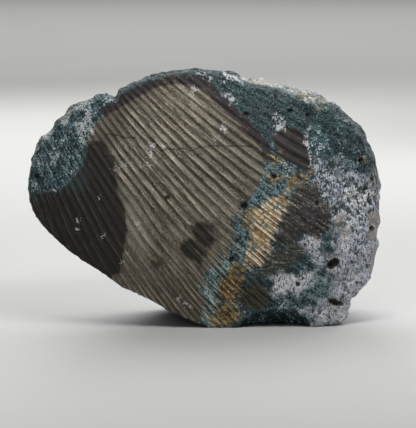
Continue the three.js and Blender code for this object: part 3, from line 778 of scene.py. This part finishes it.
# The crust: a lining of small pale crystals that grew on the hollow's walls and over its rim, in one
# piece with the stone behind. It is sugary and cream-white, and pointed wherever it had room to grow.
CRUST_GRAIN = 0.8
CRUST_POINTS = 4200
POINTS_AT_ONCE = 60
POINT_SIDES = 5
POINT_SHOULDER = 0.86
POINT_RADIUS = (0.45, 1.25)
POINT_SCALES = (0.8, 0.9, 1, 1, 1, 1.1, 1.3, 1.9)
POINT_HEIGHT = (1.4, 2.4)
POINT_LEAN = 0.55
POINT_ROOM = 2.5
CRYSTAL_ROOM = 1.0
TABLE_ROOM = 4
RIM_HEIGHT = 90
RIM_FADE = 8
LAP_MIDDLE = 35
HALF_LAP = 19.5
LAP_END = 15
LAP_FRONT = 19.5


def drop_crumbs(mesh):
    """Keeps a mesh's one large body, and deletes what its thin edges left loose in the remeshing."""
    bm = bmesh.new()
    bm.from_mesh(mesh)
    waiting = set(bm.verts)
    bodies = []
    while waiting:
        body = [waiting.pop()]
        for vert in body:
            beside = [edge.other_vert(vert) for edge in vert.link_edges]
            body += [other for other in beside if other in waiting]
            waiting.difference_update(beside)
        bodies.append(body)
    crumbs = [vert for body in sorted(bodies, key=len)[:-1] for vert in body]
    bmesh.ops.delete(bm, geom=crumbs, context="VERTS")
    bm.to_mesh(mesh)
    bm.free()


crust = merged_copy("druse_crust", "crystal_crust")
remeshed(crust, CRUST_GRAIN)
drop_crumbs(crust.data)
places, facing = corners_of(crust.data)
on_top = step(places[:, 2], RIM_HEIGHT, RIM_HEIGHT + RIM_FADE)
sugar = (0.9 + 0.8 * on_top) * (knobs(places, 3.2) - 0.5)
sugar += 0.5 * (knobs(places + 50, 1.5) - 0.5)
sugar += 0.3 * rough(places, 8, 2)
stone_gap = distance_to(surface_of(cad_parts["basalt_matrix"]), places)
sugar += UNDER_CRUST * (1 - step(stone_gap, 0.5, 1.5))
places += facing * sugar[:, None]
places[:, 2] = np.maximum(places[:, 2], 0)
move_corners(crust.data, places)

# Where the points stand: all over the crust, but clear of its edges, of the table and the crystals.
stone_surface = surface_of(stone)
crust_surface = surface_of(crust)
crystal_surfaces = [surface_of(part) for name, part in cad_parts.items() if "apophyllite" in name]
chance = random.Random(19)
bm = bmesh.new()
bm.from_mesh(crust.data)
bm.verts.layers.float.new("tint")
bm.normal_update()
stands = []
roots = [(face.calc_center_median(), face.normal.copy()) for face in bm.faces if face.normal.y > -0.35]
for root, outwards in chance.sample(roots, min(CRUST_POINTS, len(roots))):
    start = root + outwards * 0.3 * MM
    if root.y < chance.uniform(-2, 14) * MM and root.z > RIM_HEIGHT * MM:
        continue
    if root.x < LAP_END * MM and root.z > RIM_HEIGHT * MM and outwards.z > 0.3:
        continue
    if root.z < TABLE_ROOM * MM:
        continue
    if any(tree.ray_cast(start, outwards, POINT_ROOM * MM)[0] for tree in (stone_surface, crust_surface)):
        continue
    if any(tree.find_nearest(root, CRYSTAL_ROOM * MM)[0] for tree in crystal_surfaces):
        continue
    sideways = Vector([chance.uniform(-1, 1) for _ in range(3)])
    tilt = (outwards + sideways * POINT_LEAN).to_track_quat("Z", "Y").to_matrix().to_4x4()
    stands.append(Matrix.Translation(root) @ tilt @ Matrix.Rotation(chance.uniform(0, math.pi), 4, "Z"))

# Each point is a short stem and a tip, joined and closed a few at a time, then poured into the crust.
for first in range(0, len(stands), POINTS_AT_ONCE):
    few = bmesh.new()
    tint_layer = few.verts.layers.float.new("tint")
    for stand in stands[first:first + POINTS_AT_ONCE]:
        radius = chance.uniform(*POINT_RADIUS) * chance.choice(POINT_SCALES) * MM
        point_height = radius * chance.uniform(*POINT_HEIGHT)
        tint = chance.random()
        for middle, bottom, top, share in ((0.2, 1, POINT_SHOULDER, 0.8), (0.8, POINT_SHOULDER, 0, 0.4)):
            made = bmesh.ops.create_cone(
                few, segments=POINT_SIDES, radius1=radius * bottom, radius2=radius * top,
                depth=point_height * share,
                matrix=stand @ Matrix.Translation((0, 0, point_height * middle)))
            for vert in made["verts"]:
                vert[tint_layer] = tint
    bmesh.ops.remove_doubles(few, verts=few.verts, dist=1e-7)
    bmesh.ops.holes_fill(few, edges=few.edges, sides=POINT_SIDES)
    bmesh.ops.recalc_face_normals(few, faces=few.faces)
    few_points = filled_mesh("few_points", few)
    bm.from_mesh(few_points)
    bpy.data.meshes.remove(few_points)
bm.to_mesh(crust.data)
bm.free()

# Cream inside the hollow, aged grey along the rim, and stone-coloured where the lap thins out.
druse = Finish("cream_crust", {"Specular IOR Level": 0.5})
crust_x = druse.place_along("X")
crust_y = druse.place_along("Y")
crust_z = druse.place_along("Z")
point_tint = druse.attribute("tint")
coarse = druse.cloud(9, 3)
middling = druse.cloud(3.5, 3, 40)
fine = druse.cloud(1.2, 3, 17)
fine_middling = fine * 0.6 + middling * 0.4
aged = druse.coats(
    tone(62, 74, 77),
    (tone(128, 134, 134), (fine * 0.5 + middling * 0.5).rising(0.42, 0.54)),
    (tone(190, 186, 172), fine_middling.rising(0.54, 0.61) * 0.9),
    (tone(132, 116, 94), coarse.rising(0.54, 0.62) * 0.6))
cream = druse.coats(
    tone(214, 208, 190),
    (tone(236, 234, 226), fine.rising(0.4, 0.6)),
    (tone(190, 178, 152), coarse.rising(0.5, 0.66) * 0.6),
    (tone(222, 226, 224), point_tint * 0.7))
stony = druse.blend(tone(48, 62, 65), tone(104, 116, 118), fine_middling.rising(0.42, 0.58))
lining = (crust_y + (coarse - 0.5) * 20).rising(0, 18) | (1 - crust_z.rising(90, 97))
from_middle = (crust_x - LAP_MIDDLE).maths("ABSOLUTE")
margin = HALF_LAP - from_middle + (coarse - 0.5) * 34 + (middling - 0.5) * 16
from_front = crust_y + LAP_FRONT + (coarse - 0.5) * 16 + (middling - 0.5) * 10
thin_lap = (1 - margin.rising(-1, 2)) | (1 - from_front.rising(0, 3))
on_rim = crust_z.rising(RIM_HEIGHT, RIM_HEIGHT + RIM_FADE)
on_shell = 1 - point_tint.rising(0, 0.03)
druse.feed({
    "Base Color": druse.coats(aged, (cream, lining), (stony, thin_lap * on_rim * on_shell)),
    "Roughness": 0.5 - point_tint * 0.25,
    "Normal": druse.node("Bump", {}, {"Strength": 0.6, "Distance": MM, "Height": fine * 0.25})})
crust.data.materials.append(druse.material)
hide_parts("druse_crust")
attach(crust, "root")

# The crystals: clear to pale mint apophyllite, square prisms with a four-sided point, rooted in the
# crust. Their faces are glassy and finely lined along their length, and faint veils hang inside.
CORNER_BEVEL = 0.16
SHARP_ANGLE = 0.3
GROWTH_STRETCH = 14
MINT = (0.84, 0.96, 0.9, 1)
MINT_DEPTH = 110
MILK = (0.9, 0.97, 0.94, 1)
MILKY_FOR = 9

glass = Finish("apophyllite", {"Transmission Weight": 1, "IOR": 1.535, "Base Color": (1, 1, 1, 1)})
veil = glass.cloud(7, 4, 5)
fine_veil = glass.cloud(1.6, 3, 29)
face_place = glass.node("UVMap", {"uv_map": "lines"}, {})
growth_lines = glass.cloud(0.35, 2, 0, where=face_place)
glass.feed({
    "Roughness": (fine_veil * 0.5 + veil * 0.5).rising(0.55, 0.72) * 0.12 + 0.02,
    "Normal": glass.node("Bump", {}, {"Strength": 0.2, "Distance": MM, "Height": growth_lines * 0.06})})
milky_root = 1 - (glass.attribute("above_crust") + (veil - 0.5) * 16).rising(0, MILKY_FOR)
haze_share = (veil * 0.6 + fine_veil * 0.4).rising(0.54, 0.66) * 0.2 + milky_root * 0.25
haze = glass.node("BsdfDiffuse", {}, {"Color": MILK})
clear = Wire(glass, glass.surface.outputs["BSDF"])
hazy = glass.node("MixShader", {}, {0: haze_share, 1: clear, 2: haze})
output = glass.material.node_tree.nodes["Material Output"]
glass.join(hazy, output.inputs["Surface"])
mint = glass.node("VolumeAbsorption", {}, {"Color": MINT, "Density": 1 / (MINT_DEPTH * MM)})
glass.join(mint, output.inputs["Volume"])

for node in [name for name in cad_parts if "apophyllite" in name]:
    crystal = merged_copy(node, node.replace("apophyllite", "clear"))
    bm = bmesh.new()
    bm.from_mesh(crystal.data)
    bmesh.ops.dissolve_limit(bm, angle_limit=0.02, verts=bm.verts, edges=bm.edges)
    bm.normal_update()
    sharp = [edge for edge in bm.edges if edge.is_convex and edge.calc_face_angle(0) > SHARP_ANGLE]
    bmesh.ops.bevel(bm, geom=sharp, offset=CORNER_BEVEL * MM, segments=2, affect="EDGES", profile=0.5,
                    material=-1, clamp_overlap=True)
    lines_uv = bm.loops.layers.uv.new("lines")
    for face in bm.faces:
        longest = max(face.edges, key=lambda edge: edge.calc_length())
        length_way = (longest.verts[1].co - longest.verts[0].co).normalized()
        across_way = face.normal.cross(length_way)
        for loop in face.loops:
            across = loop.vert.co.dot(across_way) / MM
            along = loop.vert.co.dot(length_way) / MM
            loop[lines_uv].uv = (across, along / GROWTH_STRETCH)
    bm.to_mesh(crystal.data)
    bm.free()
    store(crystal.data, "above_crust", distance_to(crust_surface, corners_of(crystal.data)[0]))
    crystal.data.materials.append(glass.material)
    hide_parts(node)
    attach(crystal, "root")
